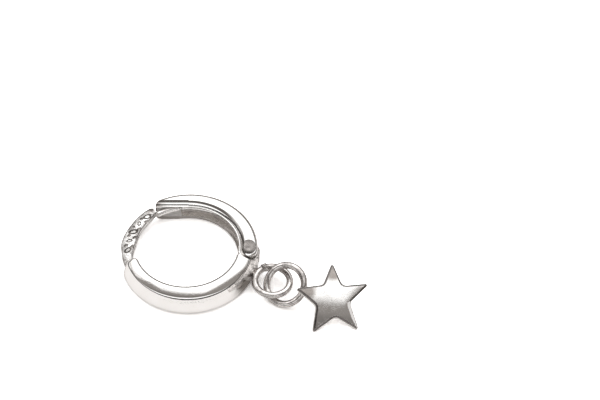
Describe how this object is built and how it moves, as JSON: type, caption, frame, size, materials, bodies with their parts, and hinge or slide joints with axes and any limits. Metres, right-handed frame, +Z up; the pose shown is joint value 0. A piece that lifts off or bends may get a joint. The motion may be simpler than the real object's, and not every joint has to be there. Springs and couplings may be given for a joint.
{
  "type": "hoop charm earring",
  "caption": "Small polished hinged hoop earring lying on its side, with a channelled back half that the post snaps into, and a domed star charm on interlocked wire rings.",
  "frame": {"origin": "under the middle of the whole on the surface it lies on", "axes": "+X from the hoop to the star, +Y towards the hinged half's side, +Z up, square to the hoop's flat sides"},
  "size_m": [0.0242, 0.0132, 0.0033],
  "materials": {
    "polished_silver": "polished silver with faint handling scratches"
  },
  "bodies": {
    "front": {"front_hoop": "polished_silver", "star_charm": "polished_silver"},
    "back": {"back_hoop": "polished_silver", "hinge_pin": "polished_silver"}
  },
  "joints": [
    {"name": "back_hinge", "type": "hinge", "parent": "front", "child": "back", "pos_m": [-0.00028, 0.0019, 0.00118], "axis": [0, 0, -1], "range_deg": [0, 60]}
  ]
}
